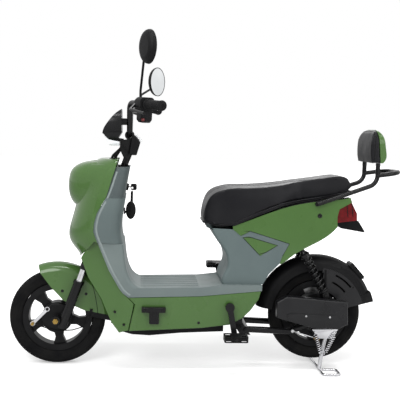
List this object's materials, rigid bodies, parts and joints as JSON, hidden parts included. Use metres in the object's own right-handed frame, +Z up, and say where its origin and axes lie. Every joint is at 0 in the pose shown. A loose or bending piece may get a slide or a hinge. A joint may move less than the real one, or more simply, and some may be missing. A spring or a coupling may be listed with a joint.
{
  "type": "electric motor scooter",
  "caption": "Step-through electric scooter with leg shield, hinged seat over a storage box, pedals, steered front fork, hub-motor rear wheel, backrest rail and folding centre stand.",
  "frame": {"origin": "on the ground, below the middle of the overall length, in the middle plane", "axes": "+X forward, +Y to the rider's left, +Z up"},
  "size_m": [1.5629, 0.6926, 1.3079],
  "materials": {
    "tyre": "matt",
    "black_cast": "satin",
    "black_metal": "gloss",
    "steel": "satin",
    "chrome": "polished",
    "green_plastic": "gloss",
    "grey_plastic": "matt",
    "black_plastic": "matt",
    "gloss_black": "gloss",
    "seat_cover": "satin",
    "grip_rubber": "matt",
    "red_lens": "gloss",
    "clear_lens": "gloss",
    "mirror": "polished",
    "frame_paint": "satin"
  },
  "bodies": {
    "frame": {"rear_axle": "steel", "rear_fender": "black_plastic", "main_frame": "frame_paint", "battery_pack": "black_plastic", "swing_arm": "frame_paint", "rear_shocks": "black_metal", "stand_bracket": "chrome", "front_shield": "green_plastic", "inner_shield": "grey_plastic", "lower_fairing": "green_plastic", "side_panels": "green_plastic", "splash_guard": "black_plastic", "under_tray": "black_plastic", "floor_board": "grey_plastic", "footrests": "black_plastic", "seat_pillar": "grey_plastic", "pillar_inserts": "green_plastic", "storage_bin": "black_plastic", "tail_panels": "green_plastic", "tail_light": "red_lens", "tail_bracket": "black_plastic", "grab_rail": "black_metal", "backrest_pad": "seat_cover", "backrest_shell": "green_plastic", "swing_arm_covers": "gloss_black", "ignition_key": "steel", "bag_hook": "black_plastic"},
    "steering": {"fork_sliders": "black_metal", "fork_tubes": "chrome", "fork_crown": "black_metal", "front_axle": "steel", "front_fender": "green_plastic", "front_brake": "black_cast", "brake_arm": "steel", "handlebar": "black_metal", "handlebar_stem": "black_metal", "grips": "grip_rubber", "hand_controls": "black_plastic", "brake_levers": "black_metal", "mirrors": "black_plastic", "mirror_glass": "mirror", "headlight_cowl": "gloss_black", "headlight_lens": "clear_lens", "instrument_panel": "black_plastic", "control_cables": "grip_rubber", "brake_cable": "grip_rubber"},
    "front_wheel": {"front_tyre": "tyre", "front_rim": "black_cast"},
    "rear_wheel": {"rear_tyre": "tyre", "rear_rim": "black_cast"},
    "stand": {"center_stand": "chrome"},
    "seat": {"seat_cushion": "seat_cover", "seat_base": "black_plastic"},
    "crank": {"crankset": "black_metal"},
    "pedal_left": {"left_pedal": "black_plastic"},
    "pedal_right": {"right_pedal": "black_plastic"}
  },
  "joints": [
    {"name": "steering_turn", "type": "hinge", "parent": "frame", "child": "steering", "pos_m": [0.56231, 0, 0.18074], "axis": [-0.342, 0, 0.9397], "range_deg": [-40, 40]},
    {"name": "front_wheel_spin", "type": "hinge", "parent": "steering", "child": "front_wheel", "pos_m": [0.5905, 0, 0.191], "axis": [0, 1, 0], "continuous": true},
    {"name": "rear_wheel_spin", "type": "hinge", "parent": "frame", "child": "rear_wheel", "pos_m": [-0.4575, 0, 0.213], "axis": [0, 1, 0], "continuous": true},
    {"name": "stand_fold", "type": "hinge", "parent": "frame", "child": "stand", "pos_m": [-0.4925, 0, 0.14], "axis": [0, 1, 0], "range_deg": [0, 75]},
    {"name": "seat_lift", "type": "hinge", "parent": "frame", "child": "seat", "pos_m": [-0.0055, 0, 0.573], "axis": [0, 1, 0], "range_deg": [0, 70]},
    {"name": "crank_turn", "type": "hinge", "parent": "frame", "child": "crank", "pos_m": [-0.0895, 0, 0.266], "axis": [0, 1, 0], "continuous": true},
    {"name": "left_pedal_turn", "type": "hinge", "parent": "crank", "child": "pedal_left", "pos_m": [-0.11087, 0, 0.15606], "axis": [0, 1, 0], "continuous": true},
    {"name": "right_pedal_turn", "type": "hinge", "parent": "crank", "child": "pedal_right", "pos_m": [-0.06813, 0, 0.37594], "axis": [0, 1, 0], "continuous": true}
  ]
}
